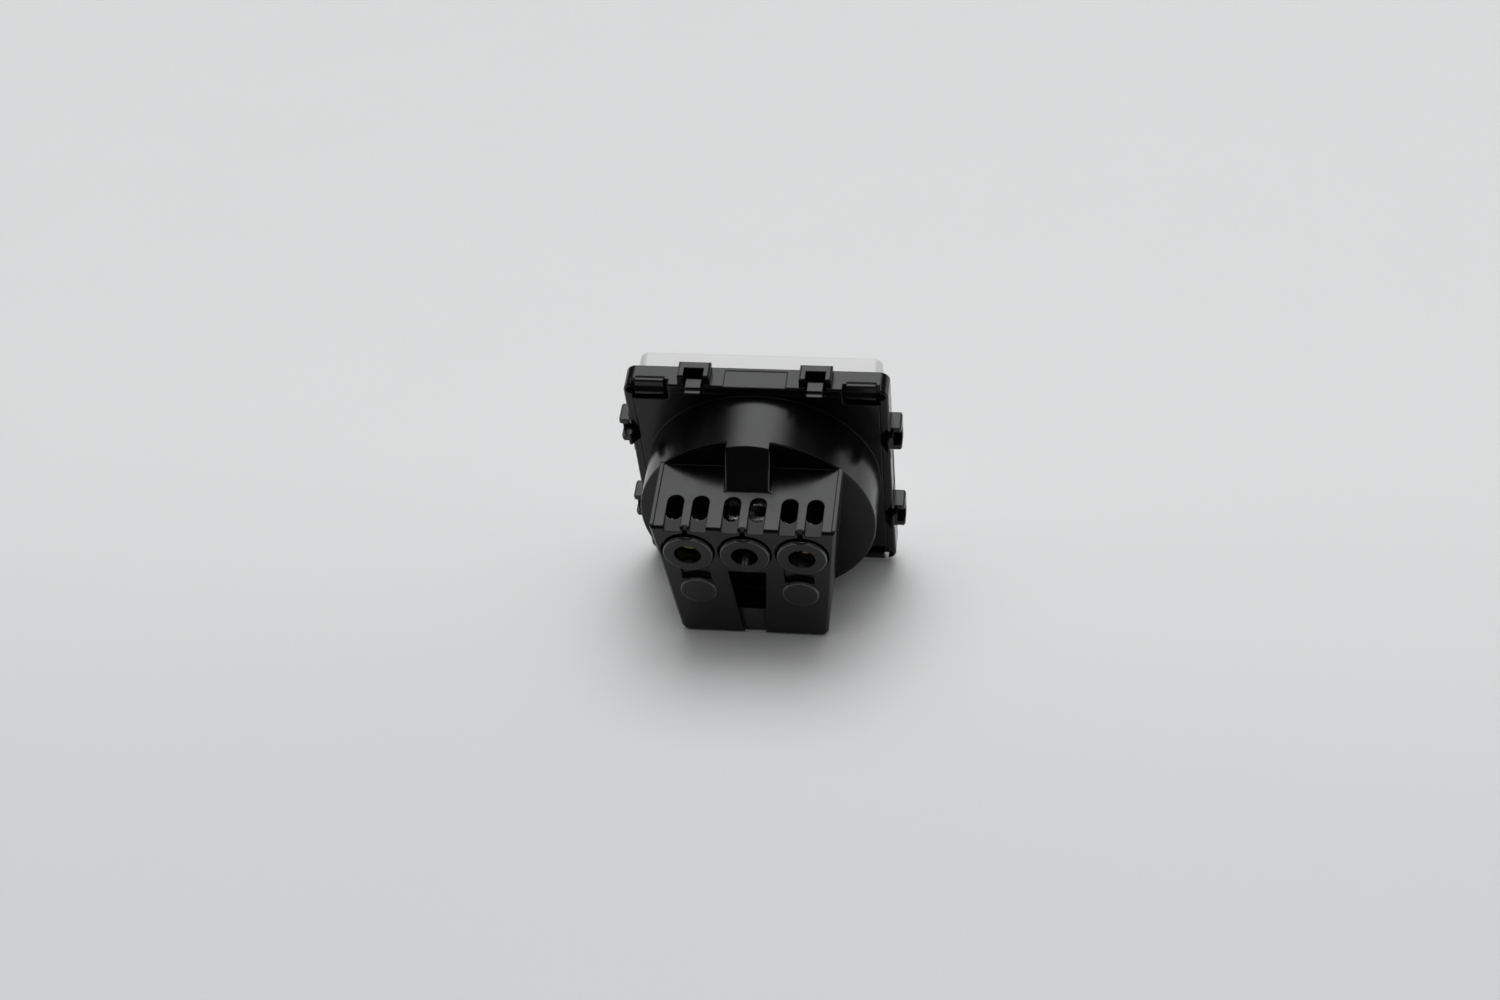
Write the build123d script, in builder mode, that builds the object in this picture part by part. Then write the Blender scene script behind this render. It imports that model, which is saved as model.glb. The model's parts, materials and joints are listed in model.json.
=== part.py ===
from build123d import *
import os

os.makedirs("parts", exist_ok=True)

# Socket module for a 45 mm wall frame: a round socket with an earth pin.
# Millimetres. Y is the plug axis: the front faces -Y, the wires and screws are at +Y, and Z is up.
# The origin is on the plug axis, in the plane of the shoulder that meets the wall frame.

# Front cover and its recess
cover_proud = 5.6
cover_corner = 1.6
cover_inner_corner = 0.8
cover_edge = 1.1
cover_wall = 1.5
cover_face = 1.8
cover_skirt_end = 2.0
recess_bore = 39.2
recess_depth = 15.0
recess_wall = 1.0
recess_floor = 1.6
recess_chamfer = 0.6
plate_margin = 0.5

# Plug pins: where they go and what lets them in
pin_spacing = 19.0
plug_pin_diameter = 4.8
plug_pin_length = 19.0
pin_hole = 5.4
pin_hole_chamfer = 0.5
contact_clearance = 0.02

# Mounting frame round the module, with its clips
frame_wall = 1.65
frame_depth = 4.7
frame_corner = 1.9
frame_edge = 0.3
fit_gap = 0.06
clip_offset = 11.1
clip_width = 5.9
clip_front = 0.4
clip_length = 3.9
clip_height = 2.05
clip_bar = 1.7
clip_leg = 1.15
clip_edge = 0.3
panel_width = 11.4
panel_step = 0.12
panel_front = 0.6

# Catches near the corners: a pocket with a barbed bar in it
catch_inset = 4.9
catch_width = 6.8
catch_depth = 1.6
catch_height = 3.8
catch_corner = 0.9
catch_end_drop = 1.55
catch_end = 0.95
hook_width = 5.3
hook_proud = 0.6
hook_root = 0.6
hook_front_gap = 0.1
hook_ramp = 0.5
hook_thickness = 1.2
hook_bevel = 0.25
hook_height = 2.3
lip_reach = 0.35
lip_height = 0.5
lip_drop = 1.5

# Spring tongues of the housing, one in each clip
tongue_width = 2.9
tongue_proud = 0.55
tongue_front = 3.4
tongue_reach = 2.2
tongue_lip = 1.0
tongue_step = 0.45
tongue_thickness = 0.9
tongue_root = 0.6

# Housing shell and the disc that closes its rear end
plate_front = 2.2
well_clearance = 0.2
well_wall = 1.2
disc_rear = 15.5
disc_wall = 1.3

# Terminal block at the rear of the disc
block_rear = 30.3
block_top = 14.95
block_bottom = -15.5
block_half_top = 16.65
block_half_bottom = 13.7
block_corner = 1.5
block_edge = 0.45
block_root = 0.5
disc_edge = 0.25
collar_edge = 0.3
rail_width = 0.75
rail_height = 0.3
terminal_pitch = 10.3
terminal_z = 8.0
wall_between = 1.25
side_wall = 1.35
top_wall = 1.3
rear_wall = 2.3
core_wall = 1.2
earth_chamber_bottom = 4.3
chamber_clearance = 0.2
pin_tip_clearance = 0.3

# Wire entries in the top
slot_pitch = 4.6
slot_width = 3.0
slot_length = 5.2
slot_y = 25.3
ramp_drop = 1.1

# Screwdriver collars, buttons and bands on the rear
collar_radius = 4.5
collar_proud = 0.5
driver_hole = 4.9
pocket_gap = 0.4
pocket_rise = 0.45
pocket_depth = 1.1
collar_flat = 2.7
notch_width = 0.9
notch_depth = 0.7
button_radius = 3.35
button_proud = 0.5
button_x = 9.4
button_z = -2.6
band_width = 5.4
band_depth = 0.8

# Tapered recess below the middle collar
rear_recess_half_top = 3.5
rear_recess_half_low = 2.0
rear_recess_depth = 5.7
rear_recess_gap = 0.4
rear_recess_step = -9.0
rear_recess_shallow = 0.8

# Wedge over the disc at twelve o'clock
wedge_width = 7.8
wedge_overhang = 1.2
wedge_foot = 6.1
wedge_root = 1.0
wedge_fillet = 0.5

# Line and neutral contacts
sheet = 0.8
sleeve_wall = 0.6
sleeve_front = 12.0
sleeve_slit = 1.1
sleeve_root = 1.5
sleeve_mouth = 0.35
sleeve_clearance = 0.2
spring_wall = 0.45
spring_front = 15.0
spring_length = 4.0
spring_gap = 1.6
tab_y = 21.8
tab_margin = 0.4
tab_corner = 0.6

# Earth pin
earth_pin_diameter = 4.8
earth_pin_length = 14.0
earth_pin_z = 10.0
earth_pin_root = 2.6
earth_pin_flare = 0.5
earth_flange = 3.4
earth_flange_thickness = 1.0
rivet_radius = 1.5
rivet_spread = 0.6
rivet_height = 0.6
strap_bend = 0.7

# Terminal hardware
nut_height = 6.4
nut_thickness = 2.2
nut_corner = 0.5
clamp_height = 6.6
clamp_thickness = 1.2
wire_gap_open = 2.4
wire_gap_closed = 1.0
wire_radius = 1.4
groove_depth = 0.5
screw_diameter = 3.5
screw_head = 4.5
screw_head_height = 1.7
screw_head_edge = 0.35
screw_tip = 1.2
screw_tip_chamfer = 0.4
screw_slot = 0.8
screw_slot_depth = 0.9
screw_clearance = 0.2
thread_clearance = 0.05

# Insulating carrier behind the recess floor, and the screw that holds it
carrier_front_gap = 0.05
carrier_rear_gap = 0.1
carrier_chamfer = 0.3
carrier_screw_z = -7.5
carrier_screw_radius = 1.25
carrier_screw_head = 2.4
carrier_screw_head_height = 1.5
carrier_screw_length = 7.4
carrier_screw_tip = 0.5
carrier_boss_wall = 1.4
cross_length = 2.6
cross_width = 0.7
cross_depth = 0.9

# Derived places along the plug axis
cover_front = -cover_proud
floor_front = cover_front + recess_depth
floor_rear = floor_front + recess_floor
disc_front = disc_rear - disc_wall
chamber_rear = block_rear - rear_wall
collar_rear = block_rear + collar_proud
catch_front = frame_depth - catch_depth
pin_tip_y = floor_front + plug_pin_length
nut_y = tab_y - nut_thickness
shank_length = screw_tip + nut_thickness + sheet + wire_gap_open + clamp_thickness
carrier_front = floor_rear + carrier_front_gap
carrier_rear = disc_front - carrier_rear_gap
flange_rear = floor_rear + earth_flange_thickness

# Derived places across it
recess_radius = recess_bore / 2
recess_outer = recess_radius + recess_wall
well_bore = recess_outer + well_clearance
well_outer = well_bore + well_wall
plate_half = well_outer + plate_margin
cover_size = 2 * plate_half
frame_opening = cover_size + 2 * fit_gap
frame_size = frame_opening + 2 * frame_wall
frame_half = frame_size / 2
catch_x = frame_half - catch_inset
pin_x = pin_spacing / 2
sleeve_bore = plug_pin_diameter / 2 + contact_clearance
sleeve_radius = sleeve_bore + sleeve_wall
chamber_top = block_top - top_wall
chamber_floor = block_bottom + side_wall
spring_inner = sleeve_radius + thread_clearance
spring_outer = spring_inner + spring_wall
chamber_inner = min((terminal_pitch + wall_between) / 2, pin_x - spring_outer - chamber_clearance)
terminal_low = terminal_z - clamp_height / 2
side_slope = (block_half_top - block_half_bottom) / (block_top - block_bottom)
terminal_xs = (-terminal_pitch, 0, terminal_pitch)
wire_xs = [x + shift for x in terminal_xs for shift in (-slot_pitch / 2, slot_pitch / 2)]


def rear_plane(y):
    """A plane across the plug axis, looked at from behind: its x is -X and its y is Z."""
    return Plane(origin=(0, y, 0), x_dir=(-1, 0, 0), z_dir=(0, 1, 0))


def side_plane(x):
    """A plane along the plug axis: its x is Y and its y is Z."""
    return Plane(origin=(x, 0, 0), x_dir=(0, 1, 0), z_dir=(1, 0, 0))


def half_width_at(z):
    """Half the block's width at a height."""
    return block_half_bottom + side_slope * (z - block_bottom)


def chamber_side(z):
    """Where the sloping outer wall of a side chamber is at a height."""
    return half_width_at(z) - side_wall


def rim(part, radius, y):
    """The circular edges of a part with this radius, in the plane at y."""
    circles = part.edges().filter_by(GeomType.CIRCLE)
    circles = circles.filter_by(lambda edge: abs(edge.radius - radius) < 0.01)
    return circles.filter_by(lambda edge: abs(edge.center().Y - y) < 0.01)


def finish(part, label):
    """Names a finished piece and writes it."""
    part.label = label
    export_step(part, f"parts/{label}.step")


# Half the width that the terminal hardware has on each side of its screw
terminal_half = min(
    terminal_pitch - chamber_inner,
    chamber_side(terminal_low) - terminal_pitch,
) - chamber_clearance

# Front cover: a square shell with the round recess hanging from its face
with BuildPart() as front_cover:
    with BuildSketch(rear_plane(cover_front)):
        RectangleRounded(cover_size, cover_size, cover_corner)
    extrude(amount=cover_skirt_end - cover_front)
    fillet(front_cover.faces().sort_by(Axis.Y)[0].edges(), cover_edge)
    inner_size = cover_size - 2 * cover_wall
    with BuildSketch(rear_plane(cover_front + cover_face)):
        RectangleRounded(inner_size, inner_size, cover_inner_corner)
    extrude(amount=cover_skirt_end - cover_front - cover_face, mode=Mode.SUBTRACT)
    with BuildSketch(rear_plane(cover_front + cover_face / 2)):
        Circle(recess_outer)
    extrude(amount=floor_rear - cover_front - cover_face / 2)
    with BuildSketch(Plane.XY):
        with BuildLine():
            Polyline(
                (0, cover_front),
                (recess_radius + recess_chamfer, cover_front),
                (recess_radius, cover_front + recess_chamfer),
                (recess_radius, floor_front),
                (0, floor_front),
                close=True,
            )
        make_face()
    revolve(axis=Axis.Y, mode=Mode.SUBTRACT)
    with BuildSketch(rear_plane(floor_front)):
        with Locations((-pin_x, 0), (pin_x, 0)):
            Circle(pin_hole / 2)
        with Locations((0, earth_pin_z)):
            Circle(earth_pin_root + thread_clearance)
    extrude(amount=recess_floor, mode=Mode.SUBTRACT)
    chamfer(rim(front_cover, pin_hole / 2, floor_front), pin_hole_chamfer)
finish(front_cover.part, "front_cover")

# Mounting frame: a square ring with two clip loops on each side and a catch near each corner
clip_centres = [(-clip_offset, frame_half), (clip_offset, frame_half)]
catch_centres = [(x, z) for z in (-frame_half, frame_half) for x in (-catch_x, catch_x)]
end_x = catch_x + catch_width / 2
end_z = frame_half - catch_end_drop
catch_ends = [(x, z) for z in (-end_z, end_z) for x in (-end_x, end_x)]
with BuildPart() as mounting_frame:
    with BuildSketch(rear_plane(0)):
        RectangleRounded(frame_size, frame_size, frame_corner)
    extrude(amount=frame_depth)
    chamfer(mounting_frame.faces().sort_by(Axis.Y)[-1].edges(), frame_edge)
    with BuildSketch(rear_plane(clip_front)):
        with PolarLocations(0, 4):
            with Locations(*clip_centres):
                Rectangle(clip_width, 2 * clip_height)
    extrude(amount=clip_length)
    clip_tops = mounting_frame.edges().filter_by(
        lambda edge: max(abs(edge.center().X), abs(edge.center().Z)) > frame_half + clip_height - 0.01
    )
    chamfer(clip_tops, clip_edge)
    with BuildSketch(rear_plane(0)):
        RectangleRounded(frame_opening, frame_opening, cover_corner)
    extrude(amount=frame_depth, mode=Mode.SUBTRACT)
    with BuildSketch(rear_plane(panel_front)):
        with PolarLocations(0, 4):
            with Locations((0, frame_half)):
                Rectangle(panel_width, 2 * panel_step)
    extrude(amount=frame_depth, mode=Mode.SUBTRACT)
    with BuildSketch(rear_plane(clip_front + clip_bar)):
        with PolarLocations(0, 4):
            with Locations(*clip_centres):
                Rectangle(clip_width - 2 * clip_leg, 3 * clip_height)
    extrude(amount=frame_depth, mode=Mode.SUBTRACT)
    with BuildSketch(rear_plane(catch_front)):
        with Locations(*catch_centres):
            Rectangle(catch_width, 2 * catch_height)
        with Locations(*catch_ends):
            Circle(catch_end)
    extrude(amount=catch_depth, mode=Mode.SUBTRACT)
    hook_rear = catch_front + hook_thickness
    lip_rear = frame_depth + lip_reach
    for x in (-catch_x, catch_x):
        for side in (-1, 1):
            with BuildSketch(side_plane(x - hook_width / 2)):
                with BuildLine():
                    Polyline(
                        (catch_front - hook_root, side * frame_half),
                        (catch_front + hook_ramp, side * (frame_half + hook_proud)),
                        (hook_rear - hook_bevel, side * (frame_half + hook_proud)),
                        (hook_rear, side * (frame_half + hook_proud - hook_bevel)),
                        (hook_rear, side * (frame_half - lip_drop / 2)),
                        (lip_rear, side * (frame_half - lip_drop)),
                        (lip_rear, side * (frame_half - lip_drop - lip_height)),
                        (hook_rear - hook_bevel, side * (frame_half - hook_height)),
                        (catch_front + hook_front_gap, side * (frame_half - hook_height)),
                        (catch_front + hook_front_gap, side * (frame_half - lip_drop)),
                        (catch_front - hook_root, side * (frame_half - lip_drop)),
                        close=True,
                    )
                make_face()
            extrude(amount=hook_width)
finish(mounting_frame.part, "mounting_frame")

# Housing shell: a square plate with spring tongues, round the tube of the well
with BuildPart() as housing_shell:
    with BuildSketch(rear_plane(plate_front)):
        RectangleRounded(cover_size, cover_size, cover_corner)
    extrude(amount=frame_depth - plate_front)
    with BuildSketch(rear_plane(catch_front)):
        with Locations(*catch_centres):
            RectangleRounded(catch_width, 2 * catch_height, catch_corner)
    extrude(amount=catch_depth, mode=Mode.SUBTRACT)
    with BuildSketch(rear_plane(plate_front)):
        Circle(well_outer)
    extrude(amount=disc_front - plate_front)
    with BuildSketch(rear_plane(plate_front)):
        Circle(well_bore)
    extrude(amount=disc_front - plate_front, mode=Mode.SUBTRACT)

    # Spring tongues: each rises through its clip and ends in a lip behind the frame
    tongue_top = frame_half + tongue_proud
    lip_front = tongue_front + tongue_reach
    for outward in (Vector(0, 0, 1), Vector(1, 0, 0), Vector(0, 0, -1), Vector(-1, 0, 0)):
        along = Vector(0, 1, 0).cross(outward)
        for offset in (-clip_offset, clip_offset):
            with BuildSketch(Plane(origin=along * offset, x_dir=(0, 1, 0), z_dir=along)):
                with BuildLine():
                    Polyline(
                        (tongue_front, plate_half - tongue_root),
                        (tongue_front, tongue_top),
                        (lip_front, tongue_top),
                        (lip_front, tongue_top - tongue_step),
                        (lip_front + tongue_lip, tongue_top - tongue_step),
                        (lip_front + tongue_lip, tongue_top - tongue_thickness),
                        (frame_depth, plate_half),
                        (frame_depth, plate_half - tongue_root),
                        close=True,
                    )
                make_face()
            extrude(amount=tongue_width / 2, both=True)
finish(housing_shell.part, "housing_shell")

# One screwdriver collar, flat at its top, and one button, both drawn on the plug axis
flat_rise = (collar_radius**2 - (collar_flat / 2) ** 2) ** 0.5
with BuildPart() as collar:
    with BuildSketch(rear_plane(chamber_rear)):
        Circle(collar_radius)
    extrude(amount=collar_rear - chamber_rear)
    chamfer(collar.faces().sort_by(Axis.Y)[-1].edges(), collar_edge)
    with BuildSketch(rear_plane(chamber_rear)):
        with Locations((0, flat_rise + collar_radius / 2)):
            Rectangle(2 * collar_radius, collar_radius)
    extrude(amount=collar_rear - chamber_rear, mode=Mode.SUBTRACT)
with BuildPart() as button:
    with BuildSketch(rear_plane(chamber_rear)):
        Circle(button_radius)
    extrude(amount=block_rear + button_proud - chamber_rear)
    chamfer(button.faces().sort_by(Axis.Y)[-1].edges(), collar_edge)

# Terminal block, with the disc that closes the well and three chambers open towards the carrier
with BuildPart() as terminal_block:
    with BuildSketch(rear_plane(disc_front)):
        Circle(well_outer)
    extrude(amount=disc_wall)
    fillet(rim(terminal_block, well_outer, disc_rear), disc_edge)

    # Wedge: its top carries on the well's round side, and its rear slopes down to the block
    with BuildSketch(side_plane(-wedge_width / 2)):
        with BuildLine():
            Polyline(
                (disc_front, block_top - wedge_root),
                (disc_front, well_outer),
                (disc_rear + wedge_overhang, well_outer),
                (disc_rear + wedge_foot, block_top),
                (disc_rear + wedge_foot, block_top - wedge_root),
                close=True,
            )
        make_face()
    extrude(amount=wedge_width)
    with BuildSketch(rear_plane(disc_front)):
        Rectangle(4 * well_outer, 4 * well_outer)
        Circle(well_outer, mode=Mode.SUBTRACT)
    extrude(amount=disc_wall + wedge_foot, mode=Mode.SUBTRACT)

    # Block: tapered sides, rounded lower corners, a low rail along each side of its top
    with BuildSketch(rear_plane(disc_rear - block_root)) as block_outline:
        with BuildLine():
            Polyline(
                (-block_half_top, block_top),
                (block_half_top, block_top),
                (block_half_bottom, block_bottom),
                (-block_half_bottom, block_bottom),
                close=True,
            )
        make_face()
        fillet(block_outline.vertices().group_by(Axis.Y)[0], block_corner)
    extrude(amount=block_rear - disc_rear + block_root)
    chamfer(terminal_block.faces().sort_by(Axis.Y)[-1].edges(), block_edge)
    rail_foot = block_top - rail_height
    with BuildSketch(rear_plane(disc_rear)):
        for side in (-1, 1):
            with BuildLine():
                Polyline(
                    (side * (block_half_top - rail_width), rail_foot),
                    (side * (block_half_top - rail_width), block_top + rail_height),
                    (side * block_half_top, block_top + rail_height),
                    (side * half_width_at(rail_foot), rail_foot),
                    close=True,
                )
            make_face()
    extrude(amount=block_rear - disc_rear - block_edge)
    wedge_feet = terminal_block.edges().filter_by(Axis.Y)
    wedge_feet = wedge_feet.filter_by(lambda edge: abs(edge.center().Z - block_top) < 0.01)
    wedge_feet = wedge_feet.filter_by(lambda edge: abs(abs(edge.center().X) - wedge_width / 2) < 0.01)
    fillet(wedge_feet, wedge_fillet)

    # Pockets round the collars, with the shallow band below each outer one
    with BuildSketch(rear_plane(block_rear - pocket_depth)):
        with Locations(*[(x, terminal_z + pocket_rise) for x in terminal_xs]):
            Circle(collar_radius + pocket_gap)
    extrude(amount=pocket_depth, mode=Mode.SUBTRACT)
    band_top = terminal_z
    band_bottom = button_z + button_radius - pocket_gap
    with BuildSketch(rear_plane(block_rear - band_depth)):
        with Locations(*[(side * button_x, (band_top + band_bottom) / 2) for side in (-1, 1)]):
            Rectangle(band_width, band_top - band_bottom)
    extrude(amount=band_depth, mode=Mode.SUBTRACT)
    with BuildSketch(rear_plane(block_rear - notch_depth)):
        with Locations(*[(x, (terminal_z + block_top) / 2 + rail_height) for x in terminal_xs]):
            Rectangle(notch_width, block_top - terminal_z)
    extrude(amount=notch_depth, mode=Mode.SUBTRACT)
    with Locations(*[(x, 0, terminal_z) for x in terminal_xs]):
        add(collar.part)
    with Locations((-button_x, 0, button_z), (button_x, 0, button_z)):
        add(button.part)

    # Tapered recess between the two legs: deep in its upper part, shallow below
    rear_recess_top = terminal_z - collar_radius - rear_recess_gap
    rear_recess_front = block_rear - rear_recess_depth
    for depth, low in ((rear_recess_depth, rear_recess_step), (rear_recess_shallow, block_bottom)):
        fall = (rear_recess_top - low) / (rear_recess_top - block_bottom)
        half_low = rear_recess_half_top - fall * (rear_recess_half_top - rear_recess_half_low)
        with BuildSketch(rear_plane(block_rear - depth)):
            with BuildLine():
                Polyline(
                    (-rear_recess_half_top, rear_recess_top),
                    (rear_recess_half_top, rear_recess_top),
                    (half_low, low),
                    (-half_low, low),
                    close=True,
                )
            make_face()
        extrude(amount=depth, mode=Mode.SUBTRACT)

    # The three chambers
    with BuildSketch(rear_plane(disc_front)):
        for side in (-1, 1):
            with BuildLine():
                Polyline(
                    (side * chamber_inner, chamber_top),
                    (side * chamber_side(chamber_top), chamber_top),
                    (side * chamber_side(chamber_floor), chamber_floor),
                    (side * chamber_inner, chamber_floor),
                    close=True,
                )
            make_face()
        with Locations((0, (chamber_top + earth_chamber_bottom) / 2)):
            Rectangle(terminal_pitch - wall_between, chamber_top - earth_chamber_bottom)
    extrude(amount=chamber_rear - disc_front, mode=Mode.SUBTRACT)

    # Hollow core between the side chambers, with the boss that takes the carrier's screw
    core_top = earth_chamber_bottom - core_wall
    with BuildSketch(rear_plane(disc_front)):
        with Locations((0, (core_top + chamber_floor) / 2)):
            Rectangle(terminal_pitch - wall_between, core_top - chamber_floor)
        with Locations((0, carrier_screw_z)):
            Circle(carrier_screw_radius + carrier_boss_wall, mode=Mode.SUBTRACT)
    extrude(amount=rear_recess_front - core_wall - disc_front, mode=Mode.SUBTRACT)
    with BuildSketch(rear_plane(disc_front)):
        with Locations((0, carrier_screw_z)):
            Circle(carrier_screw_radius + thread_clearance)
    extrude(amount=carrier_screw_length, mode=Mode.SUBTRACT)

    # Blind holes that leave room for the tips of the plug pins, and the screwdriver holes
    with BuildSketch(rear_plane(disc_front)):
        with Locations((-pin_x, 0), (pin_x, 0)):
            Circle(plug_pin_diameter / 2 + chamber_clearance)
    extrude(amount=pin_tip_y + pin_tip_clearance - disc_front, mode=Mode.SUBTRACT)
    with BuildSketch(rear_plane(tab_y)):
        with Locations(*[(x, terminal_z) for x in terminal_xs]):
            Circle(driver_hole / 2)
    extrude(amount=collar_rear - tab_y, mode=Mode.SUBTRACT)

    # Wire slots in the top and the ramps that run from them to the rear edge
    with BuildSketch(Plane.XY.offset(chamber_top)):
        with Locations(*[(x, slot_y) for x in wire_xs]):
            SlotOverall(slot_length, slot_width, rotation=90)
    extrude(amount=top_wall + rail_height, mode=Mode.SUBTRACT)
    for x in wire_xs:
        with BuildSketch(side_plane(x - slot_width / 2)):
            with BuildLine():
                Polyline(
                    (slot_y, block_top),
                    (block_rear, block_top),
                    (block_rear, block_top - ramp_drop),
                    close=True,
                )
            make_face()
        extrude(amount=slot_width, mode=Mode.SUBTRACT)
finish(terminal_block.part, "terminal_block")

# Insulating carrier: a disc behind the recess floor with windows for the contacts and the earth strap
strap_top = chamber_top - chamber_clearance
window_low = earth_pin_z - earth_flange - chamber_clearance
carrier_seat = carrier_front + carrier_screw_head_height
carrier_radius = well_bore - well_clearance
with BuildPart() as contact_carrier:
    with BuildSketch(rear_plane(carrier_front)):
        Circle(carrier_radius)
        with Locations((-pin_x, 0), (pin_x, 0)):
            Circle(sleeve_radius + sleeve_clearance, mode=Mode.SUBTRACT)
        with Locations((0, (chamber_top + window_low) / 2)):
            window_half = max(terminal_half, earth_flange) + chamber_clearance
            Rectangle(2 * window_half, chamber_top - window_low, mode=Mode.SUBTRACT)
        with Locations((0, carrier_screw_z)):
            Circle(carrier_screw_radius + screw_clearance, mode=Mode.SUBTRACT)
    extrude(amount=carrier_rear - carrier_front)
    with BuildSketch(rear_plane(carrier_front)):
        with Locations((0, carrier_screw_z)):
            Circle(carrier_screw_head + screw_clearance)
    extrude(amount=carrier_screw_head_height, mode=Mode.SUBTRACT)
    chamfer(rim(contact_carrier, carrier_radius, carrier_front), carrier_chamfer)
    chamfer(rim(contact_carrier, carrier_radius, carrier_rear), carrier_chamfer)
finish(contact_carrier.part, "contact_carrier")

# Carrier screw: a small pan-head screw driven into the boss between the chambers
with BuildPart() as carrier_screw:
    with BuildSketch(rear_plane(carrier_front)):
        with Locations((0, carrier_screw_z)):
            Circle(carrier_screw_head)
    extrude(amount=carrier_screw_head_height)
    chamfer(carrier_screw.faces().sort_by(Axis.Y)[0].edges(), carrier_screw_tip)
    with BuildSketch(rear_plane(carrier_seat)):
        with Locations((0, carrier_screw_z)):
            Circle(carrier_screw_radius)
    extrude(amount=carrier_screw_length)
    chamfer(carrier_screw.faces().sort_by(Axis.Y)[-1].edges(), carrier_screw_tip)
    with BuildSketch(rear_plane(carrier_front)):
        with Locations((0, carrier_screw_z)):
            Rectangle(cross_length, cross_width)
            Rectangle(cross_width, cross_length)
    extrude(amount=cross_depth, mode=Mode.SUBTRACT)
finish(carrier_screw.part, "carrier_screw")


# Line and neutral contacts: a slit sleeve that grips the plug pin, on a tab that rises to the terminal
def make_contact(side, name):
    """One contact for the pole on this side, -1 or 1 as seen from behind."""
    pin_place = side * pin_x
    screw_place = side * terminal_pitch
    sleeve_edge = side * (sleeve_radius + tab_margin)
    tab_bottom = -sleeve_radius - tab_margin
    with BuildPart() as contact:
        with BuildSketch(rear_plane(sleeve_front)):
            with Locations((pin_place, 0)):
                Circle(sleeve_radius)
        extrude(amount=tab_y - sleeve_front)
        with BuildSketch(rear_plane(tab_y)) as tab_outline:
            with BuildLine():
                Polyline(
                    (screw_place - side * terminal_half, strap_top),
                    (screw_place + side * terminal_half, strap_top),
                    (screw_place + side * terminal_half, terminal_low),
                    (pin_place + sleeve_edge, tab_bottom),
                    (pin_place - sleeve_edge, tab_bottom),
                    (screw_place - side * terminal_half, terminal_low),
                    close=True,
                )
            make_face()
            fillet(tab_outline.vertices(), tab_corner)
        extrude(amount=sheet)
        with BuildSketch(rear_plane(sleeve_front)):
            with Locations((pin_place, 0)):
                Circle(sleeve_bore)
        extrude(amount=tab_y + sheet - sleeve_front, mode=Mode.SUBTRACT)
        chamfer(rim(contact, sleeve_bore, sleeve_front), sleeve_mouth)
        with BuildSketch(rear_plane(sleeve_front)):
            with Locations((pin_place, 0)):
                Rectangle(sleeve_slit, 3 * sleeve_radius)
        extrude(amount=tab_y - sleeve_front - sleeve_root, mode=Mode.SUBTRACT)
        with BuildSketch(rear_plane(tab_y)):
            with Locations((screw_place, terminal_z)):
                Circle(screw_diameter / 2 + screw_clearance)
        extrude(amount=sheet, mode=Mode.SUBTRACT)
    finish(contact.part, name)


# Steel spring round each sleeve: a C-shaped band
def make_spring(side, name):
    """The band on the sleeve of this side."""
    with BuildPart() as spring:
        with BuildSketch(rear_plane(spring_front)):
            with Locations((side * pin_x, 0)):
                Circle(spring_outer)
                Circle(spring_inner, mode=Mode.SUBTRACT)
            with Locations((side * pin_x, -spring_inner)):
                Rectangle(spring_gap, 4 * spring_wall, mode=Mode.SUBTRACT)
        extrude(amount=spring_length)
    finish(spring.part, name)


# Terminal hardware of one pole: threaded block, clamp plate and screw
def make_nut(x, name):
    """The threaded block in front of the tab."""
    with BuildPart() as nut:
        with BuildSketch(rear_plane(nut_y)):
            with Locations((x, terminal_z)):
                RectangleRounded(2 * terminal_half, nut_height, nut_corner)
                Circle(screw_diameter / 2 + thread_clearance, mode=Mode.SUBTRACT)
        extrude(amount=nut_thickness)
    finish(nut.part, name)


def make_clamp(x, wire_gap, name):
    """The plate that presses both wires against the tab, with a shallow groove for each wire."""
    clamp_y = tab_y + sheet + wire_gap
    with BuildPart() as clamp:
        with BuildSketch(rear_plane(clamp_y)):
            with Locations((x, terminal_z)):
                RectangleRounded(2 * terminal_half, clamp_height, nut_corner)
                Circle(screw_diameter / 2 + screw_clearance, mode=Mode.SUBTRACT)
        extrude(amount=clamp_thickness)
        groove_y = clamp_y + groove_depth - wire_radius
        with BuildSketch(Plane.XY.offset(terminal_z - clamp_height)):
            with Locations((-x - slot_pitch / 2, groove_y), (-x + slot_pitch / 2, groove_y)):
                Circle(wire_radius)
        extrude(amount=2 * clamp_height, mode=Mode.SUBTRACT)
    finish(clamp.part, name)


def make_screw(x, wire_gap, name):
    """A slotted terminal screw whose head bears on the clamp plate."""
    head_y = tab_y + sheet + wire_gap + clamp_thickness
    with BuildPart() as screw:
        with BuildSketch(rear_plane(head_y)):
            with Locations((x, terminal_z)):
                Circle(screw_head / 2)
        extrude(amount=screw_head_height)
        chamfer(screw.faces().sort_by(Axis.Y)[-1].edges(), screw_head_edge)
        with BuildSketch(rear_plane(head_y - shank_length)):
            with Locations((x, terminal_z)):
                Circle(screw_diameter / 2)
        extrude(amount=shank_length)
        chamfer(screw.faces().sort_by(Axis.Y)[0].edges(), screw_tip_chamfer)
        with BuildSketch(rear_plane(head_y + screw_head_height - screw_slot_depth)):
            with Locations((x, terminal_z)):
                Rectangle(2 * screw_head, screw_slot)
        extrude(amount=screw_slot_depth, mode=Mode.SUBTRACT)
    finish(screw.part, name)


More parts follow.
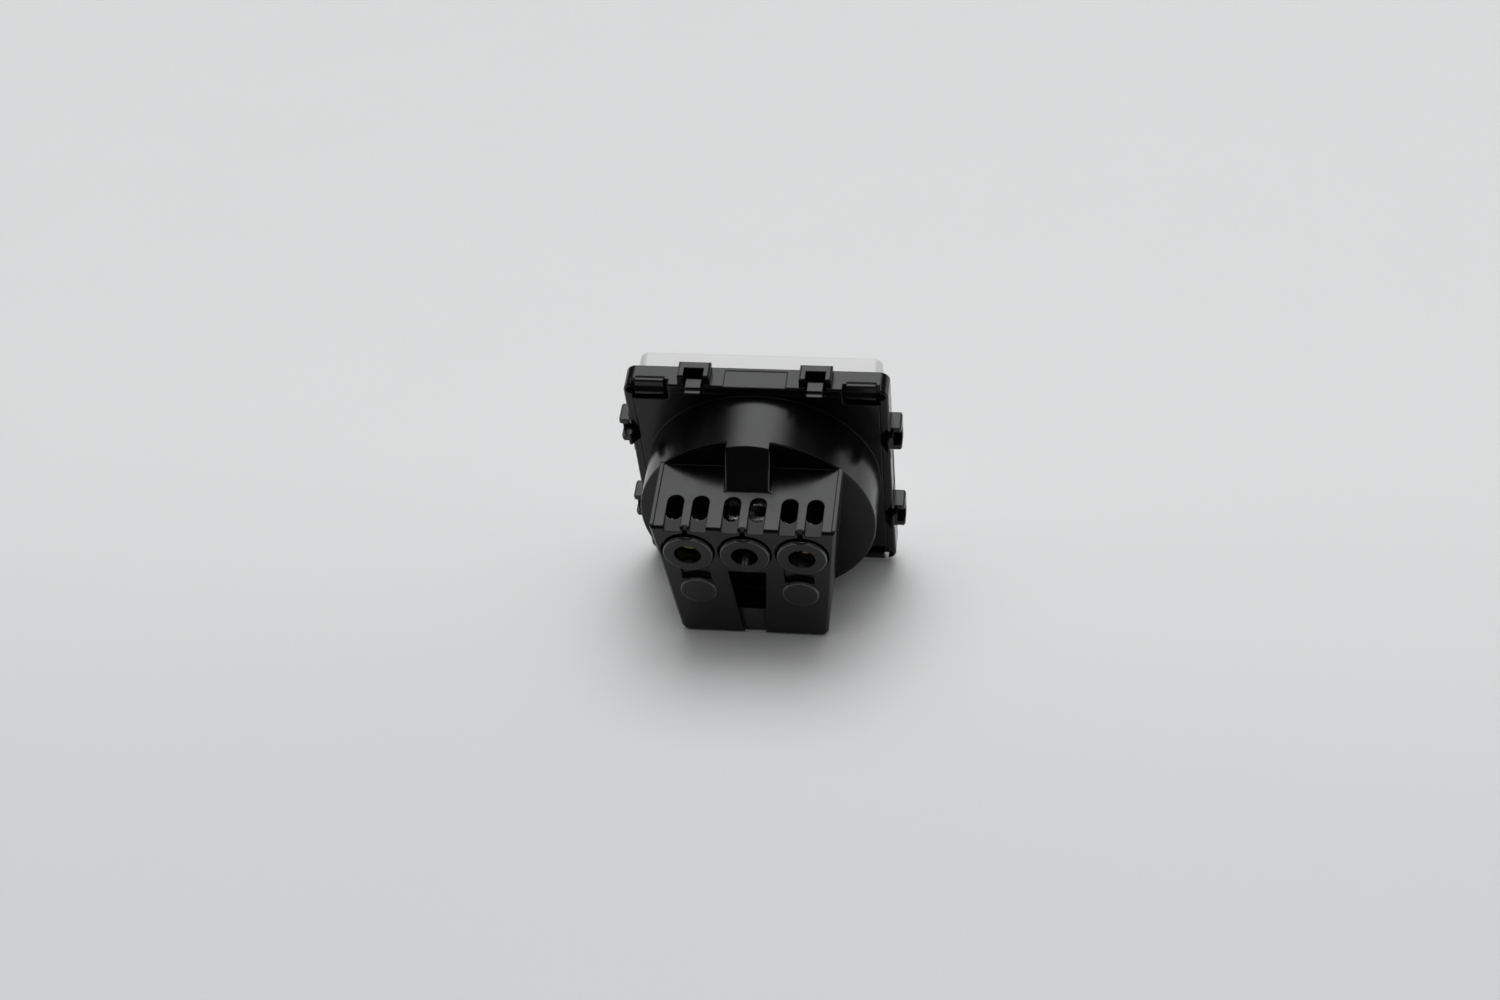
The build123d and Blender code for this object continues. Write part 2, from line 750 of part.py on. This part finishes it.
for side, pole in ((-1, "line"), (1, "neutral")):
    make_contact(side, f"{pole}_contact")
    make_spring(side, f"{pole}_contact_spring")
wire_gaps = (wire_gap_open, wire_gap_closed, wire_gap_open)
for x, wire_gap, pole in zip(terminal_xs, wire_gaps, ("line", "earth", "neutral")):
    make_nut(x, f"{pole}_terminal_nut")
    make_clamp(x, wire_gap, f"{pole}_clamp_plate")
    make_screw(x, wire_gap, f"{pole}_terminal_screw")

# Earth pin: round nose in the recess, a flange behind the floor and a rivet tail
earth_tip = floor_front - earth_pin_length
rivet_front = flange_rear + sheet
with BuildPart() as earth_pin:
    with BuildSketch(Plane.XY.offset(earth_pin_z)):
        with BuildLine():
            nose = earth_pin_diameter / 2
            JernArc((0, earth_tip), (1, 0), nose, 90)
            Polyline(
                (nose, earth_tip + nose),
                (nose, floor_front - earth_pin_flare),
                (earth_pin_root, floor_front),
                (earth_pin_root, floor_rear),
                (earth_flange, floor_rear),
                (earth_flange, flange_rear),
                (rivet_radius, flange_rear),
                (rivet_radius, rivet_front),
                (rivet_radius + rivet_spread, rivet_front),
                (rivet_radius + rivet_spread / 2, rivet_front + rivet_height),
                (0, rivet_front + rivet_height),
                (0, earth_tip),
            )
        make_face()
    revolve(axis=Axis(origin=(0, 0, earth_pin_z), direction=(0, 1, 0)))
finish(earth_pin.part, "earth_pin")

# Earth strap: riveted to the pin, over the top of the chamber and down to the middle terminal
with BuildPart() as earth_strap:
    with BuildSketch(side_plane(-terminal_half)):
        with BuildLine():
            Polyline(
                (flange_rear, earth_pin_z - earth_flange),
                (flange_rear, strap_top),
                (tab_y + sheet, strap_top),
                (tab_y + sheet, terminal_low),
                (tab_y, terminal_low),
                (tab_y, strap_top - sheet),
                (rivet_front, strap_top - sheet),
                (rivet_front, earth_pin_z - earth_flange),
                close=True,
            )
        make_face()
    extrude(amount=2 * terminal_half)
    bends = earth_strap.edges().filter_by(Axis.X).filter_by(lambda edge: edge.center().Z > strap_top - 0.01)
    fillet(bends, strap_bend)
    with BuildSketch(rear_plane(flange_rear)):
        with Locations((0, earth_pin_z)):
            Circle(rivet_radius)
    extrude(amount=sheet, mode=Mode.SUBTRACT)
    with BuildSketch(rear_plane(tab_y)):
        with Locations((0, terminal_z)):
            Circle(screw_diameter / 2 + screw_clearance)
    extrude(amount=sheet, mode=Mode.SUBTRACT)
finish(earth_strap.part, "earth_strap")
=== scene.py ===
import json
import math

import bmesh
import bpy
import numpy as np
from mathutils import Matrix, Vector


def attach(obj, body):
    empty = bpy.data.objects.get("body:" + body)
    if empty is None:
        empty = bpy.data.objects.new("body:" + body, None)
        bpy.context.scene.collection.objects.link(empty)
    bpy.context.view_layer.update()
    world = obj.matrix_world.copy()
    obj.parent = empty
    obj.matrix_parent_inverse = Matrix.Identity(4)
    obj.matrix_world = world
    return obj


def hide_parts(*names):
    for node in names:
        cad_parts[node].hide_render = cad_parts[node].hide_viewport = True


# Socket module, seen from behind: a white cover, a black frame with clips, and a black housing
# with screw terminals. Metres, in the CAD model's frame: -Y is the front, +Y the wires, +Z up.
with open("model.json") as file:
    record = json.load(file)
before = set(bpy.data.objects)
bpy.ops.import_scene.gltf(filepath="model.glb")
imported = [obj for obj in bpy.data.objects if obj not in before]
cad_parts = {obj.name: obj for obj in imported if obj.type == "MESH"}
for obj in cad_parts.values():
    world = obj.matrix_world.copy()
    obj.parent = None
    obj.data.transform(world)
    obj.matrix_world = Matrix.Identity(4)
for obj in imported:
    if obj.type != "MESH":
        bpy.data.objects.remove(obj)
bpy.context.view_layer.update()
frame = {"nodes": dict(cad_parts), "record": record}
nodes = frame["nodes"]
print("frame loaded:", len(nodes), "nodes")


def startMaterial(name):
    material = bpy.data.materials.new(name)
    material.use_nodes = True
    tree = material.node_tree
    shader = tree.nodes["Principled BSDF"]
    place = tree.nodes.new("ShaderNodeTexCoord")
    return material, tree, shader, place.outputs["Object"]


def addNode(tree, kind, inputs=None, **settings):
    node = tree.nodes.new(kind)
    for key, value in settings.items():
        setattr(node, key, value)
    for key, value in (inputs or {}).items():
        if isinstance(value, bpy.types.NodeSocket):
            tree.links.new(value, node.inputs[key])
        else:
            node.inputs[key].default_value = value
    return node


# A noise between 0 and 1, stretched from its usual middle values
def softNoise(tree, place, scale, detail=2.0, low=0.35, high=0.65, stretch=None):
    if stretch:
        place = addNode(tree, "ShaderNodeMapping", {"Vector": place, "Scale": stretch}).outputs["Vector"]
    noise = addNode(tree, "ShaderNodeTexNoise", {"Vector": place, "Scale": scale, "Detail": detail})
    limits = {"Value": noise.outputs["Fac"], "From Min": low, "From Max": high}
    return addNode(tree, "ShaderNodeMapRange", limits).outputs["Result"]


# A value that runs from one number to another as the mask goes from 0 to 1
def between(tree, mask, low, high):
    ranged = addNode(tree, "ShaderNodeMapRange", {"Value": mask, "To Min": low, "To Max": high})
    return ranged.outputs["Result"]


def mixColours(tree, mask, first, second):
    mix = addNode(tree, "ShaderNodeMix", data_type="RGBA")
    tree.links.new(mask, mix.inputs["Factor"])
    for socket, colour in ((mix.inputs[6], first), (mix.inputs[7], second)):
        if isinstance(colour, bpy.types.NodeSocket):
            tree.links.new(colour, socket)
        else:
            socket.default_value = (*colour, 1)
    return mix.outputs[2]


# Sparse specks: the middles of a few cells of a Voronoi pattern
def specks(tree, place, scale, size, share):
    cells = addNode(tree, "ShaderNodeTexVoronoi", {"Vector": place, "Scale": scale})
    pick = addNode(tree, "ShaderNodeSeparateColor", {"Color": cells.outputs["Color"]})
    near = combine(tree, "LESS_THAN", cells.outputs["Distance"], size)
    rare = combine(tree, "LESS_THAN", pick.outputs["Red"], share)
    return combine(tree, "MULTIPLY", near, rare)


def dot(tree, vector, axis):
    inputs = {0: vector, 1: tuple(axis)}
    return addNode(tree, "ShaderNodeVectorMath", inputs, operation="DOT_PRODUCT").outputs["Value"]


def combine(tree, operation, first, second):
    return addNode(tree, "ShaderNodeMath", {0: first, 1: second}, operation=operation).outputs[0]


# A smooth step: 0 at the first value, 1 at the second
def ramp(tree, value, start, end):
    inputs = {"Value": value, "From Min": start, "From Max": end}
    return addNode(tree, "ShaderNodeMapRange", inputs, interpolation_type="SMOOTHSTEP").outputs["Result"]


reliefLook = {
    "bevelSamples": 6,
    "seamReach": 1.3,  # how far from a seam its normal stays plain, in edge radii
}


# Surface normal: edges rounded by a radius in metres, then fine relief; a seam at a depth stays plain
def relief(tree, shader, height, depth, edge=0.0, place=None, seam=None):
    bump = addNode(tree, "ShaderNodeBump", {"Height": height, "Strength": 1.0, "Distance": depth})
    if edge:
        samples = reliefLook["bevelSamples"]
        normal = addNode(tree, "ShaderNodeBevel", {"Radius": edge}, samples=samples).outputs["Normal"]
        if seam:
            offset = combine(tree, "SUBTRACT", dot(tree, place, (0, 1, 0)), seam)
            away = combine(tree, "ABSOLUTE", offset, 0.0)
            near = combine(tree, "LESS_THAN", away, edge * reliefLook["seamReach"])
            plain = addNode(tree, "ShaderNodeNewGeometry").outputs["Normal"]
            mix = addNode(tree, "ShaderNodeMix", data_type="VECTOR")
            tree.links.new(near, mix.inputs[0])
            tree.links.new(normal, mix.inputs[4])
            tree.links.new(plain, mix.inputs[5])
            normal = mix.outputs[1]
        tree.links.new(normal, bump.inputs["Normal"])
    tree.links.new(bump.outputs["Normal"], shader.inputs["Normal"])


# Noises of all dark mouldings: scale, detail and the limits that are stretched to 0 and 1
mouldingGrain = {
    "smudge": (70, 4),
    "cloud": (260, 3),
    "grain": (5200, 2, 0.3, 0.7),
    "dust": (900, 0.055, 0.02),  # scale, size and share of the specks
}

# Frame and housing. Depths run along Y, and each pair is where a smooth step starts and ends
blackMoulding = {
    "colour": (0.0022, 0.0023, 0.0029),
    "paleColour": (0.0036, 0.0037, 0.0045),
    "dustColour": (0.10, 0.10, 0.10),
    "roughness": (0.20, 0.28),
    "index": 1.38,
    "edge": 0.00026,
    "grainDepth": 0.0000022,
    "seam": 0.0142,
    "proudRear": (0.03042, 0.03052),
    "proudPaintedLightColour": (0.0085, 0.0086, 0.0092),
    "patchAcross": (0.00180, 0.00168),
    "patchBelow": (-0.0091, -0.0092),
    "patchBefore": (0.0296, 0.02955),
    "patchPaintedLightColour": (0.022, 0.022, 0.023),
}

# The insulating disc behind the recess floor
carrierMoulding = {
    "colour": (0.030, 0.030, 0.033),
    "paleColour": (0.044, 0.044, 0.047),
    "dustColour": (0.12, 0.12, 0.12),
    "roughness": (0.45, 0.6),
    "index": 1.45,
    "edge": 0.00012,
    "grainDepth": 0.000005,
}

# Rims and edges of the housing, painted paler: a painted highlight that stands in for the light they
# reflect
paintedHighlightEdge = {
    "colour": (0.050, 0.051, 0.055),
    "paleColour": (0.10, 0.101, 0.105),
    "dustColour": (0.12, 0.12, 0.12),
    "roughness": (0.10, 0.18),
    "index": 1.6,
    "edge": 0.0,
    "grainDepth": 0.000001,
}


# Where the look says so, painted light: the faces that stand proud of the rear are painted paler for the
# light they catch, and a patch in its recess is painted paler as a pool of light
def makeBlack(name, look):
    material, tree, shader, place = startMaterial(name)
    smudge = softNoise(tree, place, *mouldingGrain["smudge"])
    cloud = softNoise(tree, place, *mouldingGrain["cloud"])
    grain = softNoise(tree, place, *mouldingGrain["grain"])
    base = mixColours(tree, smudge, look["colour"], look["paleColour"])
    if "proudRear" in look:
        across = dot(tree, place, (1, 0, 0))
        depth = dot(tree, place, (0, 1, 0))
        height = dot(tree, place, (0, 0, 1))
        # Painted light: faces that stand proud of the rear are paler
        base = mixColours(tree, ramp(tree, depth, *look["proudRear"]), base, look["proudPaintedLightColour"])
        # Painted light: a patch low in the middle of the recess, near its rear, is painted paler as a
        # pool of light
        patch = ramp(tree, combine(tree, "ABSOLUTE", across, 0.0), *look["patchAcross"])
        patch = combine(tree, "MULTIPLY", patch, ramp(tree, height, *look["patchBelow"]))
        patch = combine(tree, "MULTIPLY", patch, ramp(tree, depth, *look["patchBefore"]))
        base = mixColours(tree, patch, base, look["patchPaintedLightColour"])
    dust = specks(tree, place, *mouldingGrain["dust"])
    base = mixColours(tree, dust, base, look["dustColour"])
    tree.links.new(base, shader.inputs["Base Color"])
    rough = combine(tree, "MULTIPLY", smudge, cloud)
    tree.links.new(between(tree, rough, *look["roughness"]), shader.inputs["Roughness"])
    shader.inputs["IOR"].default_value = look["index"]
    relief(tree, shader, grain, look["grainDepth"], look["edge"], place, look.get("seam"))
    return material


whiteCover = {
    "colour": (0.78, 0.785, 0.78),
    "warmColour": (0.785, 0.785, 0.775),
    "smudge": (45, 1, 0.1, 0.9),
    "grain": (4200, 2, 0.3, 0.7),
    "roughness": (0.26, 0.30),
    "index": 1.5,
    "edge": 0.00015,
    "grainDepth": 0.000002,
}


def makeWhite(name, look):
    material, tree, shader, place = startMaterial(name)
    smudge = softNoise(tree, place, *look["smudge"])
    grain = softNoise(tree, place, *look["grain"])
    base = mixColours(tree, smudge, look["colour"], look["warmColour"])
    tree.links.new(base, shader.inputs["Base Color"])
    tree.links.new(between(tree, smudge, *look["roughness"]), shader.inputs["Roughness"])
    shader.inputs["IOR"].default_value = look["index"]
    relief(tree, shader, grain, look["grainDepth"], look["edge"])
    return material


metalGrain = {
    "tarnish": (420, 5),
    "marks": (1500, 3, 0.3, 0.7),
    "markDepth": 0.000004,
    "edge": 0.00008,
}

# Each metal: its colour and its tarnish, and how far its marks are stretched
metals = {
    "brass": {
        "colour": (0.95, 0.70, 0.30),
        "dull": (0.80, 0.52, 0.18),
        "roughness": (0.25, 0.45),
        "stretch": (1, 6, 1),
        "metallic": 0.35,
        # Painted shade: brass is dark in front of this depth, in the screw slots and on the shanks
        "paintedShadeBefore": (0.0278, 0.0273),
        "paintedShadeColour": (0.05, 0.035, 0.015),
    },
    # Painted shade: the contacts are coloured far darker than brass, for the shade inside the wire slots
    "contact": {
        "colour": (0.20, 0.13, 0.05),
        "dull": (0.08, 0.05, 0.02),
        "roughness": (0.35, 0.55),
        "stretch": (1, 6, 1),
        "metallic": 1.0,
    },
    "steel": {
        "colour": (0.70, 0.69, 0.67),
        "dull": (0.45, 0.44, 0.41),
        "roughness": (0.16, 0.36),
        "stretch": (1, 5, 1),
        "metallic": 1.0,
    },
    "nickel": {
        "colour": (0.74, 0.72, 0.67),
        "dull": (0.55, 0.52, 0.46),
        "roughness": (0.12, 0.26),
        "stretch": (1, 40, 1),
        "metallic": 1.0,
    },
}


# Where the look says so, a metal is painted dark from its heads' slots down: painted shade in the slots
# and on the shanks
def makeMetal(name, look):
    material, tree, shader, place = startMaterial(name)
    tarnish = softNoise(tree, place, *metalGrain["tarnish"])
    marks = softNoise(tree, place, *metalGrain["marks"], look["stretch"])
    base = mixColours(tree, tarnish, look["colour"], look["dull"])
    if "paintedShadeBefore" in look:
        paintedShadeMask = ramp(tree, dot(tree, place, (0, 1, 0)), *look["paintedShadeBefore"])
        base = mixColours(tree, paintedShadeMask, base, look["paintedShadeColour"])
    tree.links.new(base, shader.inputs["Base Color"])
    tree.links.new(between(tree, marks, *look["roughness"]), shader.inputs["Roughness"])
    shader.inputs["Metallic"].default_value = look["metallic"]
    relief(tree, shader, marks, metalGrain["markDepth"], metalGrain["edge"])
    return material


finishes = {
    "white_cover": makeWhite("whiteMoulding", whiteCover),
    "black_moulding": makeBlack("blackMoulding", blackMoulding),
    "carrier_moulding": makeBlack("carrierMoulding", carrierMoulding),
    "brass": makeMetal("brass", metals["brass"]),
    "plated_steel": makeMetal("steel", metals["steel"]),
    "nickel_plated_brass": makeMetal("nickel", metals["nickel"]),
}
# Painted shade: the contacts get the darkened copy of brass
contactPaintedShade = makeMetal("contact", metals["contact"])
# Painted highlight: the paler material of the collar and button rims and the wedge edges
paintedHighlight = makeBlack("paintedHighlightEdge", paintedHighlightEdge)
slotOf = {part["node"]: part["material_slot"] for part in frame["record"]["subparts"]}
for name, node in nodes.items():
    finish = contactPaintedShade if name.endswith("_contact") else finishes[slotOf[name]]
    node.data.materials.clear()
    node.data.materials.append(finish)
print("materials on", len(nodes), "nodes")


# A smooth piece of the housing, with only its sharp corners kept sharp, coloured with the painted
# highlight
def newPiece(name, points, faces, sharpAngle=35):
    mesh = bpy.data.meshes.new(name)
    mesh.from_pydata(points.reshape(-1, 3).tolist(), [], faces.tolist())
    mesh.polygons.foreach_set("use_smooth", np.ones(len(mesh.polygons), bool))
    mesh.set_sharp_from_angle(angle=math.radians(sharpAngle))
    mesh.materials.append(paintedHighlight)
    piece = bpy.data.objects.new(name, mesh)
    bpy.context.scene.collection.objects.link(piece)
    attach(piece, "root")
    return piece


# Quads between the neighbouring points of a grid: its columns close on themselves, and its rows may
def gridFaces(rows, columns, closedRows):
    i, j = np.meshgrid(np.arange(rows if closedRows else rows - 1), np.arange(columns), indexing="ij")
    after, beside = (i + 1) % rows, (j + 1) % columns
    corners = [i * columns + j, i * columns + beside, after * columns + beside, after * columns + j]
    return np.stack([corner.ravel() for corner in corners], 1)


# Rounded rims of the three collars and two buttons, by their places across, paler with the painted
# highlight
rimLook = {
    "collars": {"line": 0.0103, "earth": 0.0, "neutral": -0.0103},
    "collarHeight": 0.0080,
    "collarRadius": 0.0045,
    "collarFlat": 0.004293,
    "flatProud": 0.00003,
    "flatSlope": 0.3,
    "buttons": {"left": -0.0094, "right": 0.0094},
    "buttonHeight": -0.0026,
    "buttonRadius": 0.00335,
    "foot": 0.0302,
    "base": 0.0303,
    "height": 0.00049,
    "width": 0.00030,
    "proud": 0.00006,
    "aroundSteps": 144,
    "archSteps": 12,
}


# A ring: a quarter ellipse, from the side wall to the top face, turned about the rim's axis;
# a collar's ring is cut by a flat at its top, which leans back a little
def makeRim(name, centre, radius, look, flat=None):
    arch = np.linspace(0, math.pi / 2, look["archSteps"])
    reach = radius + look["proud"] - look["width"] * (1 - np.cos(arch))
    depth = look["base"] + look["height"] * np.sin(arch)
    reach = np.concatenate([[reach[0]], reach, [reach[-1]]])
    depth = np.concatenate([[look["foot"]], depth, [look["foot"]]])
    turn = np.linspace(0, 2 * math.pi, look["aroundSteps"], endpoint=False)
    across = np.cos(turn)[:, None] * reach
    up = np.sin(turn)[:, None] * reach
    if flat:
        lean = look["flatSlope"] * np.maximum(depth - look["base"], 0)
        up = np.minimum(up, flat + look["flatProud"] - lean)
    points = np.stack([centre[0] + across, np.broadcast_to(depth, across.shape), centre[1] + up], -1)
    newPiece(name, points, gridFaces(look["aroundSteps"], len(depth), True))


for name, across in rimLook["collars"].items():
    centre = (across, rimLook["collarHeight"])
    makeRim(name + "_collar_rim", centre, rimLook["collarRadius"], rimLook, rimLook["collarFlat"])
for name, across in rimLook["buttons"].items():
    makeRim(name + "_button_rim", (across, rimLook["buttonHeight"]), rimLook["buttonRadius"], rimLook)
print("rims made")

# Rounded edges of the wedge, which flare out at its foot, paler with the painted highlight
wedgeLook = {
    "top": (0.00386, 0.01665, 0.02162),
    "foot": (0.00386, 0.02110, 0.01560),
    "flare": (0.00062, 0.00046, -0.00062),
    "slopeNormal": (0.0, 0.82112, 0.57074),
    "radius": 0.00015,
    "tipShare": 0.02,
    "taperSteps": 3.0,
    "straightSteps": 14,
    "flareSteps": 10,
    "sides": 12,
}


# A round bead: circles carried along a path, which runs straight down the slope and then a
# quarter turn outwards; their radius shrinks evenly to almost nothing at both ends
def makeWedgeEdge(name, side, look):
    top, foot, flare = (np.array(look[key]) for key in ("top", "foot", "flare"))
    down = np.linspace(0, 1, look["straightSteps"], endpoint=False)[:, None]
    turn = np.linspace(0, math.pi / 2, look["flareSteps"])[:, None]
    bend = np.concatenate([1 - np.cos(turn), np.sin(turn), np.sin(turn)], 1)
    path = np.concatenate([top + (foot - top) * down, foot + flare * bend])
    along = np.gradient(path, axis=0)
    along /= np.linalg.norm(along, axis=1, keepdims=True)
    first = np.cross(along, look["slopeNormal"])
    first /= np.linalg.norm(first, axis=1, keepdims=True)
    second = np.cross(along, first)
    step = np.arange(len(path))
    taper = np.clip(np.minimum(step, step[::-1]) / look["taperSteps"], look["tipShare"], 1)
    angle = np.linspace(0, 2 * math.pi, look["sides"], endpoint=False)[None, :, None]
    ring = np.cos(angle) * first[:, None] + np.sin(angle) * second[:, None]
    points = path[:, None] + look["radius"] * taper[:, None, None] * ring
    faces = gridFaces(len(path), look["sides"], False)
    piece = newPiece(name, points * np.array([side, 1, 1]), faces)
    whole = bmesh.new()
    whole.from_mesh(piece.data)
    bmesh.ops.holes_fill(whole, edges=whole.edges, sides=0)
    bmesh.ops.recalc_face_normals(whole, faces=whole.faces)
    whole.to_mesh(piece.data)
    whole.free()


makeWedgeEdge("wedge_edge_left", -1, wedgeLook)
makeWedgeEdge("wedge_edge_right", 1, wedgeLook)
print("wedge edges made")

# Terminal screws: each stands at its own turn, in degrees, about an axis along Y
screwLook = {
    "line_terminal_screw": {"turn": 24, "axis": (0.0103, 0.0, 0.0080)},
    "earth_terminal_screw": {"turn": -8, "axis": (0.0, 0.0, 0.0080)},
    "neutral_terminal_screw": {"turn": 68, "axis": (-0.0103, 0.0, 0.0080)},
}
mergeWithin = 0.000002


# A merged copy of the CAD's screw, turned about its axis
def turnScrew(nodeName, look):
    spin = Matrix.Rotation(math.radians(look["turn"]), 3, "Y")
    whole = bmesh.new()
    whole.from_mesh(nodes[nodeName].data)
    bmesh.ops.remove_doubles(whole, verts=whole.verts, dist=mergeWithin)
    bmesh.ops.rotate(whole, verts=whole.verts, cent=Vector(look["axis"]), matrix=spin)
    mesh = bpy.data.meshes.new(nodeName + "_turned")
    whole.to_mesh(mesh)
    whole.free()
    mesh.materials.append(nodes[nodeName].data.materials[0])
    screw = bpy.data.objects.new(nodeName + "_turned", mesh)
    bpy.context.scene.collection.objects.link(screw)
    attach(screw, "root")
    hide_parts(nodeName)


for nodeName, look in screwLook.items():
    turnScrew(nodeName, look)
print("screws turned")

# Floor: the object lies on its lower clips and on the rear edge of its terminal block
floorLook = {
    "clips": (0.0, 0.0021, -0.02635),
    "blockEdge": (0.0, 0.0303, -0.0155),
    "reach": 12.0,
    "steps": (-1.0, -0.05, 0.05, 1.0),  # shares of the reach
    "colour": (0.90, 0.90, 0.905),
    # Painted shade: the floor is greyer just before the object, and dark further on, below the camera's
    # view
    "paintedShadeNearColour": (0.80, 0.80, 0.81),
    "paintedShadeNearFade": (-0.06, 0.13),
    "paintedShadeBandFade": (0.15, 0.22),
    "paintedShadeBandColour": (0.02, 0.02, 0.02),
    "mottle": (30, 3),
    "roughness": (0.6, 0.7),
    "specular": 0.2,
}


# A flat grid: each point is the clips' place plus a step across and a step along the slope
def makeFloor(look):
    start, end = np.array(look["clips"]), np.array(look["blockEdge"])
    along = (end - start) / np.linalg.norm(end - start)
    across = np.array([1.0, 0.0, 0.0])
    steps = np.array(look["steps"]) * look["reach"]
    u, v = np.meshgrid(steps, steps, indexing="ij")
    points = start + u[..., None] * across + v[..., None] * along
    count = len(steps)
    low = (np.arange(count - 1)[:, None] * count + np.arange(count - 1)).ravel()
    faces = np.stack([low, low + count, low + count + 1, low + 1], 1)
    mesh = bpy.data.meshes.new("floor")
    mesh.from_pydata(points.reshape(-1, 3).tolist(), [], faces.tolist())
    floor = bpy.data.objects.new("floor", mesh)
    bpy.context.scene.collection.objects.link(floor)
    mesh.materials.append(makeFloorMaterial(look, along))
    return along, np.cross(across, along)


# Palest beyond the object; painted shade makes it a little greyer before it, and a dark band of painted
# shade lies below the lower edge of the camera's view, for the rear faces to reflect
def makeFloorMaterial(look, along):
    material, tree, shader, place = startMaterial("paleFloor")
    mottle = softNoise(tree, place, *look["mottle"])
    distance = dot(tree, place, along)
    pale = mixColours(tree, ramp(tree, distance, *look["paintedShadeNearFade"]), look["colour"], look["paintedShadeNearColour"])
    pale = mixColours(tree, ramp(tree, distance, *look["paintedShadeBandFade"]), pale, look["paintedShadeBandColour"])
    tree.links.new(pale, shader.inputs["Base Color"])
    tree.links.new(between(tree, mottle, *look["roughness"]), shader.inputs["Roughness"])
    shader.inputs["Specular IOR Level"].default_value = look["specular"]
    # From below the sheet is clear, so that low views from behind still show the object
    side = addNode(tree, "ShaderNodeNewGeometry")
    clear = addNode(tree, "ShaderNodeBsdfTransparent")
    inputs = {0: side.outputs["Backfacing"], 1: shader.outputs[0], 2: clear.outputs[0]}
    mixed = addNode(tree, "ShaderNodeMixShader", inputs)
    tree.links.new(mixed.outputs[0], tree.nodes["Material Output"].inputs["Surface"])
    return material


floorAlong, floorUp = makeFloor(floorLook)
print("floor laid, up is", np.round(floorUp, 3).tolist())

# Light: a soft strip overhead, a weak fill on the camera's side and a pale horizon beyond the object
lightLook = {
    "tint": (0.99, 1.0, 1.0),
    "strip": 3.5,
    "stripMiddle": 0.03,
    "stripAcross": (0.55, 0.10),
    "stripNear": (0.27, -0.12),
    "stripFar": (-1.3, -0.75),
    "fill": 0.80,
    "fillAlong": (-0.25, 0.15),
    "fillRise": (0.60, 0.82),
    "horizon": 0.95,
    "horizonTilt": 0.137,
    "horizonRise": (0.29, 0.16),
    "horizonAlong": (0.3, -0.2),
    "room": (0.08, 0.04),
    "roomAlong": (-0.3, 0.3),
    "lowestRise": 0.02,
}


# Each light is a patch of the sky: a product of smooth steps in the directions across, along and
# up from the floor. The strip is drawn on a ceiling, so its directions are first divided by the rise
def makeRoom(look, along, up):
    world = bpy.data.worlds.new("room")
    world.use_nodes = True
    tree = world.node_tree
    direction = addNode(tree, "ShaderNodeTexCoord").outputs["Generated"]
    a = dot(tree, direction, (1, 0, 0))
    b = dot(tree, direction, along)
    c = dot(tree, direction, up)
    overhead = combine(tree, "MAXIMUM", c, look["lowestRise"])
    offset = combine(tree, "SUBTRACT", combine(tree, "DIVIDE", a, overhead), look["stripMiddle"])
    reach = combine(tree, "DIVIDE", b, overhead)
    strip = ramp(tree, combine(tree, "ABSOLUTE", offset, 0.0), *look["stripAcross"])
    strip = combine(tree, "MULTIPLY", strip, ramp(tree, reach, *look["stripNear"]))
    strip = combine(tree, "MULTIPLY", strip, ramp(tree, reach, *look["stripFar"]))
    fill = combine(tree, "MULTIPLY", ramp(tree, b, *look["fillAlong"]), ramp(tree, c, *look["fillRise"]))
    tilted = combine(tree, "ADD", c, combine(tree, "MULTIPLY", a, look["horizonTilt"]))
    beyond = ramp(tree, b, *look["horizonAlong"])
    horizon = combine(tree, "MULTIPLY", ramp(tree, tilted, *look["horizonRise"]), beyond)
    light = between(tree, ramp(tree, b, *look["roomAlong"]), *look["room"])
    for patch, name in ((strip, "strip"), (fill, "fill"), (horizon, "horizon")):
        light = combine(tree, "ADD", light, combine(tree, "MULTIPLY", patch, look[name]))
    background = tree.nodes["Background"]
    background.inputs["Color"].default_value = (*look["tint"], 1)
    tree.links.new(light, background.inputs["Strength"])
    return world


bpy.context.scene.world = makeRoom(lightLook, floorAlong, floorUp)
print("light and room set")

# Camera: where the photograph was taken from
cameraLook = {
    "place": (-0.05388, 0.26568, 0.31057),
    "right": (-0.98978, -0.11609, -0.08287),
    "up": (0.03687, -0.76947, 0.63762),
    "back": (-0.13779, 0.62805, 0.76588),
    "lens": 52.0,
    "sensor": 36.0,
    "nearClip": 0.01,
    "farClip": 100.0,
}
camera = bpy.data.cameras.new("camera")
camera.lens = cameraLook["lens"]
camera.sensor_width = cameraLook["sensor"]
camera.clip_start = cameraLook["nearClip"]
camera.clip_end = cameraLook["farClip"]
cameraObject = bpy.data.objects.new("camera", camera)
bpy.context.scene.collection.objects.link(cameraObject)
axes = Matrix([cameraLook[key] for key in ("right", "up", "back")]).transposed().to_4x4()
cameraObject.matrix_world = Matrix.Translation(cameraLook["place"]) @ axes
bpy.context.scene.camera = cameraObject
bpy.context.scene.view_settings.view_transform = "Standard"
print("camera set")
